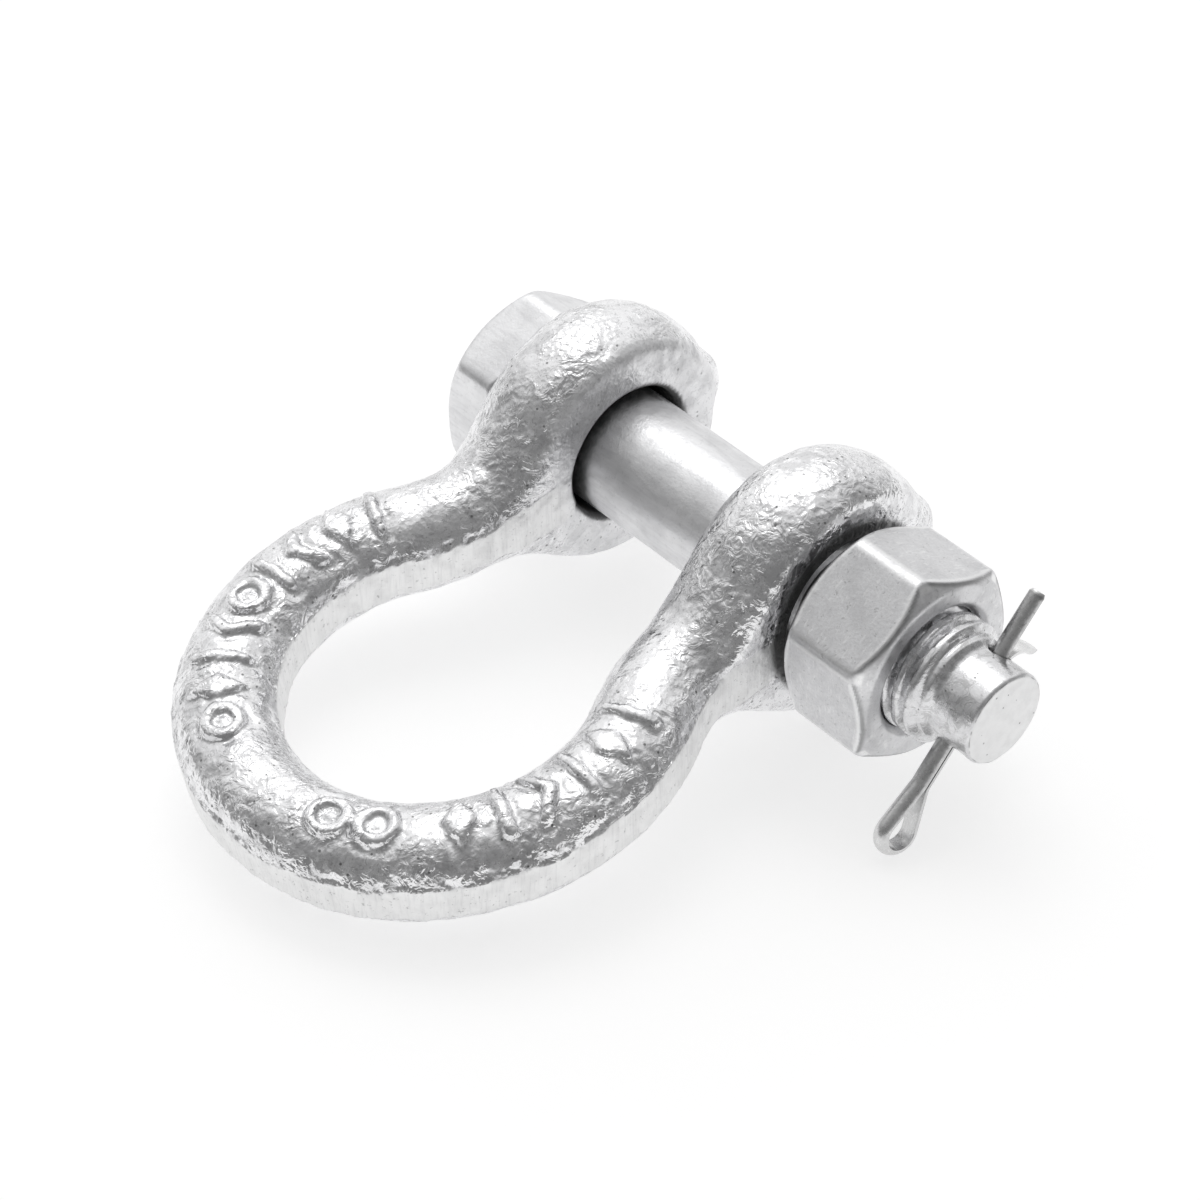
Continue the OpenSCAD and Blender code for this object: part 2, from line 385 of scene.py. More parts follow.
def bolt_zinc():
    """satin shank and head; thread and tip are shinier, with dark streaks and blobs of zinc"""
    m = Nodes("bolt_zinc")
    tip = m.attribute("tip")
    end = m.attribute("end")
    clouds = m.span(m.noise(7.0, 3, 0.55, 0.3), 0.40, 0.68)
    specks = m.span(m.noise(0.8, 2, 0.7), 0.60, 0.66)
    drawn = m.span(m.noise(1.1, 4, 0.6, 0.2, m.stretch((1, 0.12, 1))), 0.42, 0.70)
    color = m.mix(m.times(clouds, 0.35), tone(0.79, 0.01), tone(0.52, 0.01))
    color = m.mix(m.times(drawn, 0.35), color, tone(0.55, 0.01))
    color = m.mix(m.times(specks, 0.18), color, tone(0.40))
    streaks = m.span(m.noise(2.4, 5, 0.72, 1.2), 0.50, 0.60)
    streaks = m.times(streaks, tip)
    color = m.mix(m.times(streaks, 0.55), color, tone(0.42))
    color = m.mix(m.times(end, 0.8), color, tone(0.84))
    rim = m.times(m.times(end, m.math("SUBTRACT", 1.0, end)), 3.2)
    rim = m.times(rim, m.span(m.noise(1.8, 3, 0.6), 0.42, 0.58))
    color = m.mix(rim, color, tone(0.22))
    nicks = m.span(m.cells(2.1), 0.10, 0.06)
    nicks = m.times(nicks, m.math("MAXIMUM", tip, end))
    color = m.mix(m.times(nicks, 0.8), color, tone(0.18))
    rough = m.span(m.noise(1.8, 4, 0.6), 0.35, 0.7, 0.30, 0.44)
    rough = m.math("SUBTRACT", rough, m.times(tip, 0.10))
    rough = m.plus(rough, m.times(end, 0.15))
    lumps = m.bump(m.noise(2.4, 3, 0.55, 0.8), m.plus(m.times(tip, 0.2), 0.3), 0.18)
    fine = m.bump(m.noise(0.5, 2, 0.6), 0.5, 0.06, lumps)
    return m.finish(color, rough, fine)


# ---- the bow: an implicit solid turned into a mesh ----

VOXEL = 0.56
NEAR_SURFACE = 2.2
# widths in millimetres over which two surfaces blend into each other
FLAT_BLEND = 0.35
EYE_BLEND = 2.0
FLASH_BLEND = 2.5
FLASH_FILLET = 2.0
EAR_FILLET = 9.0
FACE_BLEND = 0.8
BORE_BLEND = 1.6
# the flash lies a little below its CAD height and in from the ear's faces
FLASH_SINK = 0.25
FLASH_INSET = 2.5
# the plain forging is drawn this much thinner than the CAD, which leaves room for the zinc
ZINC_ROOM = 0.2
# the sheared bands: half height, and where they run out towards the ears
BAND_HALF_H = 3.8
BAND_START = NECK_X - 9
# painted shade: a dark ring on the ears' outer faces under the nut and the head, out to this radius
SHADE_RING_R = 16.2


def bow_offset(x, y):
    """distance from the bar's centreline in plan, positive towards the outside of the bow"""
    from_middle = np.abs(y)
    crown = np.hypot(x - CROWN_X, y) - CROWN_R
    neck = NECK_R - np.hypot(x - NECK_X, from_middle - (EAR_Y + NECK_R))
    arm = from_middle - EAR_Y
    on_crown = (x - CROWN_X) * BEND_OUT + from_middle * BEND_BACK > 0
    return np.where(on_crown, crown, np.where(x > NECK_X, neck, arm))


def bow_field(x, y, z):
    """signed distance to the plain forging, negative inside"""
    offset = bow_offset(x, y)
    bar = np.hypot(offset, z) - BAR_R
    bar = smooth_max(bar, np.abs(offset) - HALF_FLAT, FLAT_BLEND)
    bar = smooth_max(bar, -x, EYE_BLEND)

    # the ear is a drum whose rim is half an ellipse, with the flash on its tip
    from_ear = np.abs(y) - EAR_Y
    radial = np.hypot(x, z)
    out = np.maximum(radial - (EAR_R - EAR_CROWN), 1e-6) / EAR_CROWN
    across = from_ear / (EAR_T / 2)
    reach = np.hypot(out, across)
    slope = np.hypot(out / EAR_CROWN, across / (EAR_T / 2))
    ear = reach * (reach - 1) / slope
    flash = smooth_max(radial - (EAR_R + FLASH_T - FLASH_SINK), np.abs(z) - FLASH_HALF_H, FLASH_BLEND)
    flash = smooth_max(np.maximum(flash, x), np.abs(from_ear) - (EAR_T / 2 - FLASH_INSET), FLASH_BLEND)
    ear = smooth_min(ear, flash, FLASH_FILLET)

    solid = smooth_min(bar, ear, EAR_FILLET)
    solid = smooth_max(solid, np.abs(offset) - EAR_T / 2, FACE_BLEND)
    bore = BORE_R - radial
    return smooth_max(solid, bore, BORE_BLEND)


# ---- the raised marks on top of the crown; u runs along the bar and t across it ----

MARK_HALF_W = 5
RIB_HALF_W = 4.3
RIB_R = 0.95
LOZENGE_HALF_L = 2.6
LOZENGE_STEEPNESS = 2.3
CHEVRON_PEAK = 1.4
CHEVRON_SLOPE = 0.6
CHEVRON_COS = 0.86
CHEVRON_HALF_L = 1.0
RING_R = 2.95
RING_HALF_W = 0.85
FAR_OFF = 9.0


def rib(u, t):
    """a bar with round ends across the top"""
    return np.hypot(np.maximum(np.abs(t) - RIB_HALF_W, 0), u) - RIB_R


def lozenge(u, t):
    """a diamond with its long way across the top"""
    return (np.abs(t) / MARK_HALF_W + np.abs(u) / LOZENGE_HALF_L - 1) * LOZENGE_STEEPNESS


def chevron(u, t):
    """two arms that meet in the middle of the top"""
    arms = np.abs(u - CHEVRON_PEAK + CHEVRON_SLOPE * np.abs(t)) * CHEVRON_COS - CHEVRON_HALF_L
    return np.maximum(arms, np.abs(t) - MARK_HALF_W)


def ring(u, t):
    """a raised circle"""
    return np.abs(np.hypot(u, t) - RING_R) - RING_HALF_W


# each kind of mark with its places in degrees round the crown
MARKS = (
    (rib, (112, 90, 68, -47, -79, -113)),
    (lozenge, (101, 57, -36, -102)),
    (chevron, (79, -58, -90)),
    (ring, (36, 23, -24, -69)),
)


def mark_outline(angle, t):
    """distance in plan to the nearest mark's outline, negative inside it"""
    nearest = np.full(len(angle), FAR_OFF)
    for mark, places in MARKS:
        for place in places:
            u = np.radians(angle - place) * CROWN_R
            nearest = np.minimum(nearest, mark(u, t))
    return nearest


def add_zinc(points, value):
    """the plain forging's distance with its zinc coat: lumps, sheared bands and pits along their edges"""
    x, y, z = points.T
    inwards = HALF_FLAT - np.abs(bow_offset(x, y))
    ripple = 0.45 * lattice_noise(points, 4.0, seed=5) + 0.25 * lattice_noise(points, 1.3, seed=6)
    wavy_z = np.abs(z) + ripple
    band = smooth_max(-inwards, np.abs(z) - BAND_HALF_H + ripple, 0.25)
    band = smooth_max(band, BAND_START - x, EYE_BLEND)
    on_band = smoothstep(0.9, 0.1, -band) * smoothstep(4.3, 3.9, wavy_z)
    on_band *= smoothstep(1.2, 0.4, inwards) * smoothstep(BAND_START - 3, BAND_START + 2, x)
    pits = smoothstep(0.35, 0.6, lattice_noise(points, 1.3, seed=8))
    pits *= smoothstep(0.9, 0.2, np.abs(wavy_z - 4.0)) * smoothstep(1.6, 0.8, inwards)
    beside_bore = smoothstep(BORE_R + 0.5, BORE_R + 3, np.hypot(x, z))
    lumpy = (1 - 0.9 * on_band) * np.where(x > EAR_R, 1, beside_bore)
    lumps = 0.10 * lattice_noise(points, 6.0, seed=1) + 0.10 * lattice_noise(points, 3.0, seed=2)
    lumps += 0.10 * np.abs(lattice_noise(points, 2.0, seed=3)) - 0.04
    coated = value + ZINC_ROOM + lumpy * lumps
    return np.minimum(coated, band + 0.05) + 0.35 * pits


def add_marks(points, value):
    """raised marks with worn outlines, and a shallow groove round each"""
    x, y, z = points.T
    offset = bow_offset(x, y)
    top = (z > 3) & (x > NECK_X)
    angle = np.degrees(np.arctan2(y, x - CROWN_X))
    outline = np.full(len(x), FAR_OFF)
    outline[top] = mark_outline(angle[top], offset[top])
    outline += 0.30 * lattice_noise(points, 1.6, seed=7)
    height = np.hypot(offset, z) - (BAR_R + MARK_T - 0.05) - 0.12 * lattice_noise(points, 2.2, seed=9)
    mark = smooth_max(height, outline, 0.45)
    groove = 0.32 * np.exp(-((outline - 0.75) / 0.55) ** 2)
    return np.where(top, smooth_min(value + groove, mark, 0.25), value)


def build_bow():
    """points and quads of the bow, flat in its own plane with the bores about the origin"""
    margin = 2 * VOXEL
    low = np.array([-EAR_R - FLASH_T, -(CROWN_R + BAR_R), -EAR_R]) - margin
    high = np.array([PIN_TO_CROWN + 2 * BAR_R, CROWN_R + BAR_R, EAR_R]) + margin
    counts = np.ceil((high - low) / VOXEL).astype(int) + 1
    axes = [low[i] + VOXEL * np.arange(counts[i]) for i in range(3)]
    x, y, z = np.meshgrid(*[axis.astype(np.float32) for axis in axes], indexing="ij")
    field = bow_field(x, y, z).astype(np.float32)

    # the fine shape is worked out only near the surface
    near = np.abs(field) < NEAR_SURFACE
    points = np.stack([x[near], y[near], z[near]], 1)
    field[near] = add_marks(points, add_zinc(points, field[near]))

    grid = openvdb.FloatGrid(FAR_OFF)
    grid.copyFromArray(field)
    verts, quads = grid.convertToQuads(isovalue=0.0)
    return np.asarray(verts) * VOXEL + low, np.asarray(quads)[:, ::-1]


def untilt(points):
    """bow frame to the world: turned about Y so that it rests on both ears and the crown"""
    c, s = math.cos(REST_TILT), math.sin(REST_TILT)
    x, y, z = points.T
    return np.stack([x * c + z * s, y, -x * s + z * c], 1)


def make_bow():
    verts, faces = build_bow()
    bow = new_mesh_object("bow_forging", untilt(verts), faces.tolist())
    finish_piece(bow, "bow_body", "bow", bow_zinc())
    x, y, z = verts.T
    from_middle = np.abs(y)
    from_bolt = np.hypot(x, z)
    band = smoothstep(0.22, 0.12, HALF_FLAT - np.abs(bow_offset(x, y))) * smoothstep(4.6, 4.0, np.abs(z))
    band *= smoothstep(BAND_START - 3, BAND_START + 2, x)
    # painted shade: a ring on the ears' outer faces under the nut and the head, and the inside of the bores
    painted_shade = smoothstep(SHADE_RING_R + 0.5, SHADE_RING_R - 0.5, from_bolt)
    painted_shade *= smoothstep(EAR_Y + 5.5, EAR_Y + 7.5, from_middle)
    painted_shade = np.maximum(painted_shade, smoothstep(BORE_R + 1.2, BORE_R + 0.7, from_bolt))
    jaw_face = smoothstep(EAR_Y - 6.5, EAR_Y - 8.0, from_middle) * smoothstep(NECK_X - 4, NECK_X - 12, x)
    add_attribute(bow, "band", band)
    add_attribute(bow, "painted_shade", painted_shade)
    add_attribute(bow, "jaw_face", jaw_face)


# ---- turned pieces: rings of points about the bolt's axis ----

STEPS = 180
CORNER_POWER = 80.0
SMOOTH_ANGLE = 40
# how far the corners of the hexagons are turned down, and their chamfers along the radius and the bolt
HEAD_CORNER_LOSS = 0.5
HEAD_CHAMFER_R = 4.2
HEAD_CHAMFER_L = 3.2
HEAD_BEVEL_R = 1.3
HEAD_BEVEL_L = 1.0
NUT_CORNER_LOSS = 0.4
NUT_CHAMFER_R = 3.1
NUT_CHAMFER_L = 2.4
NUT_LEAD = 1.3
NUT_THREAD_DEPTH = 1.1


def steps_round(corner_at):
    """angles once round the axis, closer together at the corners of a hexagon"""
    even = np.arange(STEPS) / STEPS * TAU
    return even - 0.1 * np.sin(6 * (even - corner_at))


def hex_radius(theta, across_flats, corner_at):
    """radius of a hexagon with slightly rounded corners"""
    total = 0
    for k in range(3):
        flat_at = corner_at + math.pi / 6 + k * math.pi / 3
        total = total + np.abs(np.cos(theta - flat_at)) ** CORNER_POWER
    return across_flats / 2 * total ** (-1 / CORNER_POWER)


def rounded_profile(corners, spacing):
    """(radius, y, fillet) corners to a dense outline with rounded corners"""
    out = []
    count = len(corners)
    for i, (r, y, fillet) in enumerate(corners):
        here = np.array([r, y], float)
        if fillet == 0 or i in (0, count - 1):
            out.append(here)
            continue
        before = np.array(corners[i - 1][:2], float) - here
        after = np.array(corners[i + 1][:2], float) - here
        reach = min(fillet, 0.45 * np.linalg.norm(before), 0.45 * np.linalg.norm(after))
        a = here + before / np.linalg.norm(before) * reach
        b = here + after / np.linalg.norm(after) * reach
        for t in np.linspace(0, 1, 6):
            out.append(a * (1 - t) ** 2 + here * 2 * t * (1 - t) + b * t * t)
    dense = [out[0]]
    for point in out[1:]:
        length = np.linalg.norm(point - dense[-1])
        pieces = max(1, int(math.ceil(length / spacing)))
        start = dense[-1]
        for k in range(1, pieces + 1):
            dense.append(start + (point - start) * k / pieces)
    return np.array(dense)


def cap(verts, faces, ring, last):
    """closes the first or last ring with a fan of triangles; returns the points with its centre added"""
    centre = len(verts)
    start = ring * STEPS
    centre_y = verts[start:start + STEPS, 1].mean()
    for k in range(STEPS):
        here = start + k
        after = start + (k + 1) % STEPS
        faces.append((centre, here, after) if last else (centre, after, here))
    return np.concatenate([verts, [[0, centre_y, 0]]])


def lathe(rings, theta, closed):
    """points and faces from rings of (radius by theta, y); closed joins the last ring to the first"""
    verts = []
    for radius, y in rings:
        verts.append(np.stack([radius * np.cos(theta), np.full(STEPS, y), radius * np.sin(theta)], 1))
    faces = []
    count = len(rings)
    for i in range(count if closed else count - 1):
        j = (i + 1) % count
        for k in range(STEPS):
            n = (k + 1) % STEPS
            faces.append((i * STEPS + k, i * STEPS + n, j * STEPS + n, j * STEPS + k))
    verts = np.concatenate(verts)
    if not closed:
        verts = cap(verts, faces, 0, last=False)
        verts = cap(verts, faces, count - 1, last=True)
    return verts, faces


def thread_height(y, theta):
    """0 at the root and 1 at the crest of a right-hand thread along +Y"""
    turns = (y - THREAD_Y0) / PITCH + theta / TAU
    from_crest = np.abs(turns - np.floor(turns) - 0.5) * 2
    return 1 - smoothstep(0.35, 0.98, from_crest)


def build_bolt():
    """points and faces of the bolt without its cross hole"""
    theta = steps_round(HEAD_TURN)
    corner_r = HEAD_AF / math.sqrt(3) - HEAD_CORNER_LOSS
    outline = rounded_profile([
        (0.4, HEAD_END, 0),
        (corner_r - HEAD_CHAMFER_R, HEAD_END, 1.2),
        (corner_r, HEAD_END + HEAD_CHAMFER_L, 1.0),
        (corner_r, HEAD_Y - HEAD_BEVEL_L, 0.4),
        (corner_r - HEAD_BEVEL_R, HEAD_Y, 0.3),
        (PIN_R, HEAD_Y, 0.8),
        (PIN_R, THREAD_Y0 - 2, 0.5),
        (THREAD_ROOT_R, THREAD_Y0, 0.5),
    ], 0.9)
    rings = []
    for r, y in outline:
        radius = np.full(STEPS, r)
        if y <= HEAD_Y + 0.01:
            radius = smooth_min(radius, hex_radius(theta, HEAD_AF, HEAD_TURN), 0.5)
        rings.append((radius, y))
    for y in np.arange(THREAD_Y0 + 0.3, THREAD_Y1, 0.25):
        fade = smoothstep(THREAD_Y0, THREAD_Y0 + 2, y) * smoothstep(THREAD_Y1 + 0.3, THREAD_Y1 - 1.6, y)
        radius = THREAD_ROOT_R + (THREAD_R - THREAD_ROOT_R) * fade * thread_height(y, theta)
        rings.append((radius, y))
    tip = rounded_profile([
        (THREAD_ROOT_R, THREAD_Y1 + 0.1, 0),
        (THREAD_ROOT_R - 0.1, THREAD_Y1 + 0.5, 0.3),
        (TIP_R, THREAD_Y1 + 1.4, 0.8),
        (TIP_R, BOLT_END - 0.5, 0.3),
        (TIP_R - 0.5, BOLT_END, 0.25),
        (0.4, BOLT_END, 0),
    ], 0.6)
    rings += [(np.full(STEPS, r), y) for r, y in tip]
    verts, faces = lathe(rings, theta, closed=False)

    # zinc lumps and a drip on the part beyond the nut
    radius = np.hypot(verts[:, 0], verts[:, 2])
    zone = smoothstep(NUT_Y1 - 1, NUT_Y1 + 1, verts[:, 1]) * smoothstep(2, 6, radius)
    grow = zone * (0.10 * lattice_noise(verts, 2.6, seed=21) - 0.06)
    drip_at = np.array([TIP_R * math.cos(DRIP_ANGLE), BOLT_END - 1.2, TIP_R * math.sin(DRIP_ANGLE)])
    grow += zone * DRIP_HEIGHT * np.exp(-np.sum((verts - drip_at) ** 2, 1) / 2.5)
    verts[:, [0, 2]] *= (1 + grow / np.maximum(radius, 1))[:, None]
    return verts, faces


def build_nut():
    """points and faces of the nut, and at each point its painted light: a highlight (1) along the chamfers'
    edges and the corners, a dark line of shade (-1) just inside the chamfers' edges
    """
    theta = steps_round(NUT_TURN)
    corner_r = NUT_AF / math.sqrt(3) - NUT_CORNER_LOSS
    outline = rounded_profile([
        (NUT_BORE_R, NUT_Y0 + 4, 0),
        (NUT_BORE_R, NUT_Y0 + NUT_LEAD, 0.3),
        (NUT_BORE_R + NUT_LEAD, NUT_Y0, 0.3),
        (corner_r - NUT_CHAMFER_R, NUT_Y0, 0.6),
        (corner_r, NUT_Y0 + NUT_CHAMFER_L, 0.6),
        (corner_r, NUT_Y1 - NUT_CHAMFER_L, 0.6),
        (corner_r - NUT_CHAMFER_R, NUT_Y1, 0.6),
        (NUT_BORE_R + NUT_LEAD, NUT_Y1, 0.4),
        (NUT_BORE_R, NUT_Y1 - NUT_LEAD, 0.3),
        (NUT_BORE_R, NUT_Y1 - 4, 0),
    ], 0.4)
    hexagon = hex_radius(theta, NUT_AF, NUT_TURN)
    rings = []
    painted_light = []
    # painted highlight along the rounded corners of the hexagon
    corner_highlight = smoothstep(0.970, 0.990, hexagon / hexagon.max())
    for r, y in outline:
        rings.append((smooth_min(np.full(STEPS, r), hexagon, 0.45), y))
        past_edge = r - hexagon
        # painted highlight in a band where the chamfers meet the flats, and a painted dark line of shade just
        # inside it on the chamfers
        bright = smoothstep(-0.2, 0.3, past_edge) * smoothstep(1.5, 0.3, past_edge) * (r < corner_r - 0.02)
        painted_dark_line = smoothstep(-1.0, -0.4, past_edge) * smoothstep(0.2, -0.3, past_edge)
        painted_light.append(np.maximum(bright, corner_highlight * (r > corner_r - 1.5)) - painted_dark_line)
    for y in np.arange(NUT_Y1 - 4.5, NUT_Y0 + 4.2, -0.35):
        rings.append((NUT_BORE_R + NUT_THREAD_DEPTH * (1 - thread_height(y, theta)), y))
        painted_light.append(np.zeros(STEPS))
    return *lathe(rings, theta, closed=True), np.concatenate(painted_light)


def cut_with(piece, cutter):
    """takes the cutter's shape out of a piece for good"""
    modifier = piece.modifiers.new("hole", "BOOLEAN")
    modifier.operation = "DIFFERENCE"
    modifier.solver = "EXACT"
    modifier.object = cutter
    depsgraph = bpy.context.evaluated_depsgraph_get()
    mesh = bpy.data.meshes.new_from_object(piece.evaluated_get(depsgraph))
    piece.modifiers.clear()
    old = piece.data
    piece.data = mesh
    bpy.data.meshes.remove(old)
    bpy.data.objects.remove(cutter)


def cylinder(name, radius, length, centre, direction):
    """a plain cylinder to cut with"""
    r = radius * MM
    bm = bmesh.new()
    bmesh.ops.create_cone(bm, cap_ends=True, segments=64, radius1=r, radius2=r, depth=length * MM)
    mesh = bpy.data.meshes.new(name)
    bm.to_mesh(mesh)
    bm.free()
    turn = Vector(direction).to_track_quat("Z", "Y").to_matrix().to_4x4()
    mesh.transform(Matrix.Translation(Vector(centre) * MM) @ turn)
    piece = bpy.data.objects.new(name, mesh)
    bpy.context.scene.collection.objects.link(piece)
    return piece


def make_bolt():
    verts, faces = build_bolt()
    bolt = new_mesh_object("hex_bolt", verts, faces)
    hole_axis = (math.cos(COTTER_ANGLE), 0, -math.sin(COTTER_ANGLE))
    cut_with(bolt, cylinder("cotter_hole", HOLE_R, 4 * TIP_R, (0, HOLE_Y, 0), hole_axis))
    finish_piece(bolt, "bolt_body", "bolt", bolt_zinc(), SMOOTH_ANGLE)
    points = np.empty(3 * len(bolt.data.vertices))
    bolt.data.vertices.foreach_get("co", points)
    y = points[1::3] / MM
    radius = np.hypot(points[0::3], points[2::3]) / MM
    tip = smoothstep(NUT_Y1 - 2, NUT_Y1, y) * smoothstep(BOLT_END - 0.2, BOLT_END - 0.7, y)
    end = smoothstep(BOLT_END - 0.2, BOLT_END - 0.05, y) * smoothstep(TIP_R, TIP_R - 0.4, radius)
    add_attribute(bolt, "tip", tip)
    add_attribute(bolt, "end", end)


def make_nut():
    zinc = satin_zinc(
        "nut_zinc", bright=tone(0.74, 0.01), grey=tone(0.52, 0.01), glint_color=tone(0.92),
        rough_range=(0.34, 0.50), bump_mm=0.08, along=(0.25, 1, 0.25),
    )
    verts, faces, painted_light = build_nut()
    nut = new_mesh_object("hex_nut", verts, faces)
    finish_piece(nut, "nut_body", "nut", zinc, SMOOTH_ANGLE)
    add_attribute(nut, "painted_light", painted_light)


# ---- the split pin: a half-round wire folded back on itself ----

WIRE_R = 1.65
LONG_LEG = 19.9
BEND_START = 6.8
BEND_R = 3.2 + WIRE_R
BEND_TAIL = 0.3
BEND_STEPS = 14
EYE_RUN = 7.6
EYE_FILLET = 5.0
EYE_END = 29.2
EYE_LEAN = math.radians(6)
LEG_GAP = 0.3
CUT_SCALE = 0.8
# sine and cosine of the angle at which the wire spreads into the eye
SPREAD_SIN = 0.28
SPREAD_COS = 0.96
EYE_R = (SPREAD_SIN * EYE_RUN + (1 - SPREAD_COS) * EYE_FILLET) / SPREAD_COS
EYE_C = EYE_END - EYE_R - WIRE_R
EYE_S0 = EYE_C - SPREAD_SIN * (EYE_R + EYE_FILLET) - SPREAD_COS * EYE_RUN


def arc(centre, radius, start, end, count):
    """points along an arc between two angles in degrees"""
    a = np.radians(np.linspace(start, end, count))
    return [(centre[0] + radius * math.cos(t), centre[1] + radius * math.sin(t)) for t in a]


def cotter_path():
    """line that the flat of the wire follows, from the long leg's end round the eye to the bent end"""
    spread = math.degrees(math.asin(SPREAD_SIN))
    path = [(x, 0.0) for x in np.linspace(-LONG_LEG, EYE_S0 - LEG_GAP, 60)]
    path += arc((EYE_S0, -EYE_FILLET), EYE_FILLET, 90, 90 - spread, 8)
    path += arc((EYE_C, 0), EYE_R, -90 - spread, 90 + spread, 30)
    path += arc((EYE_S0, EYE_FILLET), EYE_FILLET, -90 + spread, -90, 8)
    path += [(x, 0.0) for x in np.linspace(EYE_S0 - LEG_GAP, -BEND_START + LEG_GAP, 50)]
    path += arc((-BEND_START, BEND_R), BEND_R, -90, -180, BEND_STEPS)
    path += [(-BEND_START - BEND_R, BEND_R + BEND_TAIL * t) for t in (0.5, 1.0)]

    # the eye leans over from where it starts
    path = np.array(path)
    beyond = np.maximum(path[:, 0] - EYE_S0, 0)
    lean = np.clip(beyond / 5, 0, 1) * EYE_LEAN
    x = np.minimum(path[:, 0], EYE_S0) + beyond * np.cos(lean) - path[:, 1] * np.sin(lean) * (beyond > 0)
    y = beyond * np.sin(lean) + path[:, 1] * np.where(beyond > 0, np.cos(lean), 1)
    return np.stack([x, y], 1)


def build_cotter():
    """points and faces of the split pin, and at each point its painted highlight (above 0) or painted shade
    (below 0)
    """
    path = cotter_path()
    along = np.gradient(path, axis=0)
    along /= np.linalg.norm(along, axis=1)[:, None]
    side = np.stack([along[:, 1], -along[:, 0]], 1)

    # the half-round section, with its ends drawn in a little
    half = np.radians(np.linspace(-88, 88, 17))
    section = [(0.06 + (WIRE_R - 0.08) * math.cos(t), (WIRE_R - 0.02) * math.sin(t)) for t in half]
    section += [(0.05, (WIRE_R - 0.1) * k) for k in (0.5, 0, -0.5)]
    size = len(section)

    # the cut ends are chamfered
    scale = np.ones(len(path))
    scale[[0, -1]] = CUT_SCALE
    verts = []
    for point, out, k in zip(path, side, scale):
        for u, w in section:
            verts.append((point[0] + out[0] * u * k, point[1] + out[1] * u * k, w * k))
    faces = []
    for i in range(len(path) - 1):
        for k in range(size):
            n = (k + 1) % size
            faces.append((i * size + k, i * size + n, (i + 1) * size + n, (i + 1) * size + k))
    last = (len(path) - 1) * size
    faces.append(tuple(reversed(range(size))))
    faces.append(tuple(last + k for k in range(size)))

    # rolled about its own axis, then turned across the bolt
    x, y, z = np.array(verts).T
    c, s = math.cos(COTTER_ROLL), math.sin(COTTER_ROLL)
    y, z = y * c - z * s, y * s + z * c
    c, s = math.cos(COTTER_ANGLE), math.sin(COTTER_ANGLE)
    placed = np.stack([x * c + z * s, y + COTTER_Y, -x * s + z * c], 1)

    # painted highlights on the eye and the bent end; the cut ends are bright bare steel with a painted
    # highlight, and a painted dark rim of shade lies just behind them
    pin_highlight_and_shade = smoothstep(EYE_S0 + 1, EYE_S0 + 3, path[:, 0]) * 0.55
    bent = slice(-BEND_STEPS - 2, None)
    pin_highlight_and_shade[bent] = np.maximum(pin_highlight_and_shade[bent], 0.8)
    pin_highlight_and_shade[[1, -2]] = -0.8
    pin_highlight_and_shade[[0, -1]] = 1
    return placed, faces, np.repeat(pin_highlight_and_shade, size)


def make_cotter():
    steel = satin_zinc(
        "cotter_steel", bright=tone(0.62), grey=tone(0.40), glint_color=tone(0.86),
        rough_range=(0.26, 0.42), bump_mm=0.10, along=(1, 1, 0.3),
    )
    verts, faces, pin_highlight_and_shade = build_cotter()
    cotter = new_mesh_object("split_pin", verts, faces)
    finish_piece(cotter, "cotter_body", "cotter", steel, SMOOTH_ANGLE)
    add_attribute(cotter, "painted_light", pin_highlight_and_shade)


# ---- floor, light and camera ----

FLOOR_HALF = 3.0
BRIGHT_SIDE = (-0.406, -0.579, 0.707)
# brightness of the studio against the cosine of the angle from its bright side, mapped to 0..1
SKY_LEVELS = ((0.40, 0.22), (1.0, 1.0), (0.66, 0.33), (0.74, 0.50), (0.79, 0.66), (0.87, 0.83), (0.95, 0.95))
SKY_STRENGTH = 1.08
LENS = 102.06
CAMERA_PLACE = (0.30046, 0.32414, 0.37087)
CAMERA_RIGHT = (-0.75337, 0.65754, -0.00909)
CAMERA_FORWARD = (-0.4867, -0.56681, -0.66472)


def make_floor():
    """a pale matt floor that glows a little, so that it stays nearly white"""
    m = Nodes("pale_floor")
    color = m.mix(m.noise(40.0, 3), tone(0.50), tone(0.52))
    m.link(color, m.shader.inputs["Base Color"])
    m.shader.inputs["Roughness"].default_value = 0.9
    m.shader.inputs["Specular IOR Level"].default_value = 0.1
    m.shader.inputs["Emission Color"].default_value = (*tone(1), 1)
    m.shader.inputs["Emission Strength"].default_value = 0.64
    half = FLOOR_HALF / MM
    corners = [(x * half, y * half, FLOOR_Z) for x, y in ((-1, -1), (1, -1), (1, 1), (-1, 1))]
    floor = new_mesh_object("floor", corners, [(0, 1, 2, 3)])
    floor.data.materials.append(m.material)


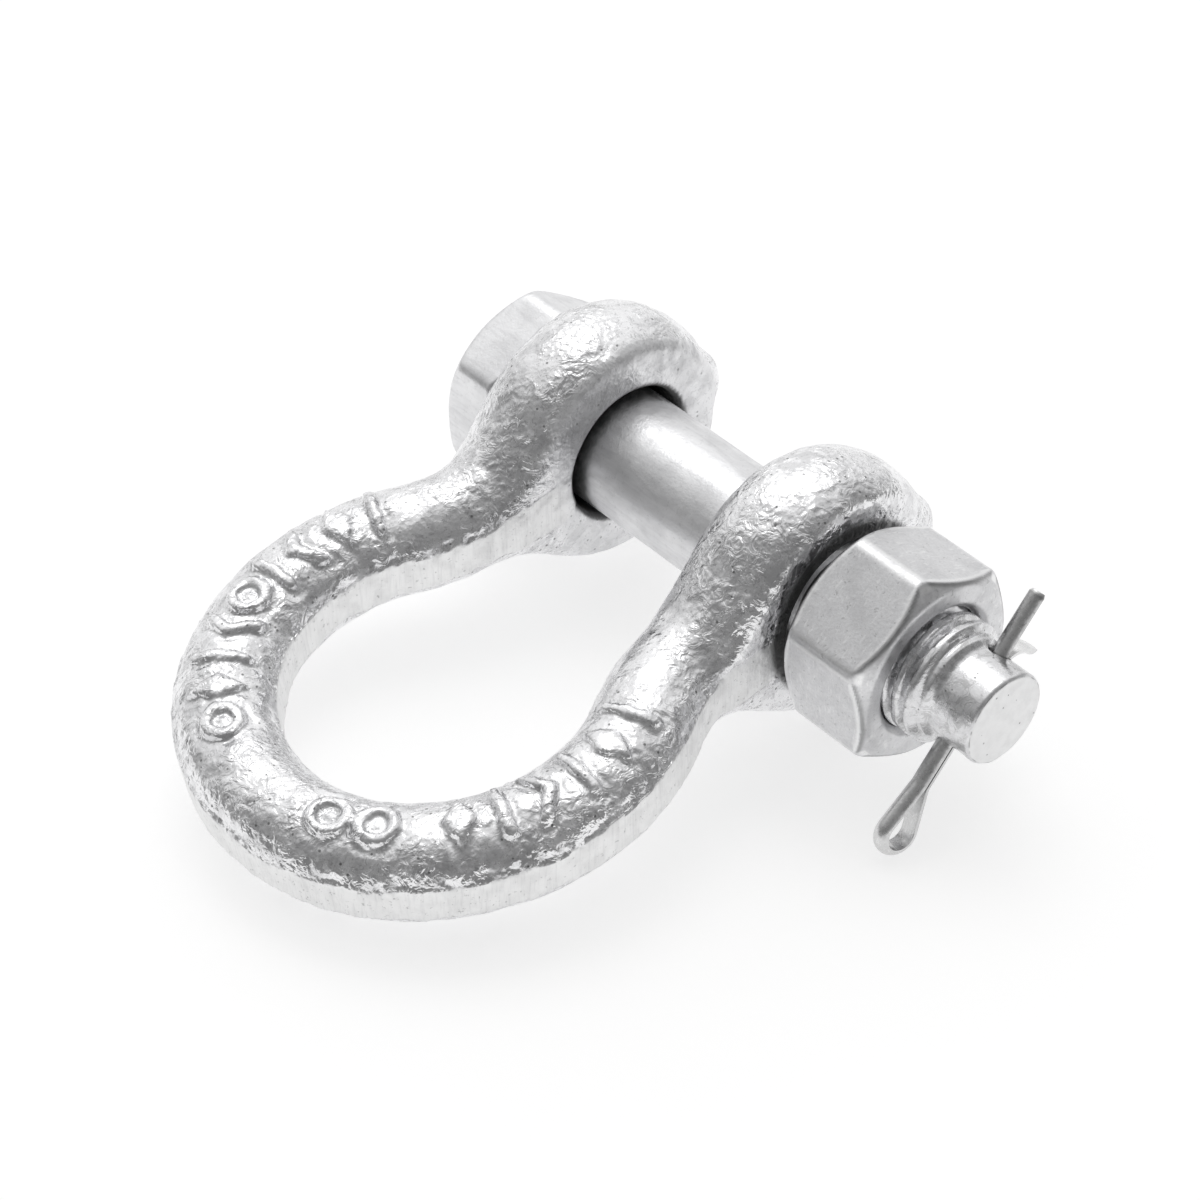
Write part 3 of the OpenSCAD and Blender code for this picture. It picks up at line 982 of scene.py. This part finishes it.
def softbox(name, azimuth, elevation, distance, size, power):
    """square area light that looks at the shackle; angles in degrees, azimuth from +X towards +Y"""
    light = bpy.data.lights.new(name, "AREA")
    light.shape = "SQUARE"
    light.size = size
    light.energy = power
    lamp = bpy.data.objects.new(name, light)
    a, e = math.radians(azimuth), math.radians(elevation)
    away = Vector((math.cos(a) * math.cos(e), math.sin(a) * math.cos(e), math.sin(e)))
    lamp.location = away * distance
    lamp.rotation_euler = away.to_track_quat("Z", "Y").to_euler()
    bpy.context.scene.collection.objects.link(lamp)


def make_light():
    """a soft studio: bright behind and above the shackle, darker towards the photographer"""
    world = bpy.data.worlds.new("studio")
    bpy.context.scene.world = world
    world.use_nodes = True
    tree = world.node_tree
    coord = tree.nodes.new("ShaderNodeTexCoord")
    dot = tree.nodes.new("ShaderNodeVectorMath")
    dot.operation = "DOT_PRODUCT"
    dot.inputs[1].default_value = Vector(BRIGHT_SIDE).normalized()
    tree.links.new(coord.outputs["Generated"], dot.inputs[0])
    ramp = tree.nodes.new("ShaderNodeValToRGB")
    stops = ramp.color_ramp.elements
    for i, (at, level) in enumerate(SKY_LEVELS):
        # a new ramp already has two stops
        stop = stops[i] if i < 2 else stops.new(at)
        stop.position = at
        stop.color = (*tone(level), 1)
    half = tree.nodes.new("ShaderNodeMath")
    half.operation = "MULTIPLY_ADD"
    half.inputs[1].default_value = 0.5
    half.inputs[2].default_value = 0.5
    tree.links.new(dot.outputs["Value"], half.inputs[0])
    tree.links.new(half.outputs[0], ramp.inputs["Fac"])
    background = tree.nodes["Background"]
    tree.links.new(ramp.outputs["Color"], background.inputs["Color"])
    background.inputs["Strength"].default_value = SKY_STRENGTH
    softbox("key", azimuth=240, elevation=62, distance=1.1, size=0.6, power=1.6)
    view = bpy.context.scene.view_settings
    view.view_transform = "Standard"
    view.look = "None"


def make_camera():
    """the photograph's viewpoint: about 42 degrees above the floor, between the crown and the nut"""
    data = bpy.data.cameras.new("camera")
    data.lens = LENS
    data.sensor_width = 36
    data.clip_end = 20
    camera = bpy.data.objects.new("camera", data)
    right = Vector(CAMERA_RIGHT).normalized()
    forward = Vector(CAMERA_FORWARD).normalized()
    down = forward.cross(right)
    turn = Matrix((right, -down, -forward)).transposed().to_4x4()
    camera.matrix_world = Matrix.Translation(Vector(CAMERA_PLACE)) @ turn
    bpy.context.scene.collection.objects.link(camera)
    bpy.context.scene.camera = camera


make_bow()
make_bolt()
make_nut()
make_cotter()
make_floor()
make_light()
make_camera()
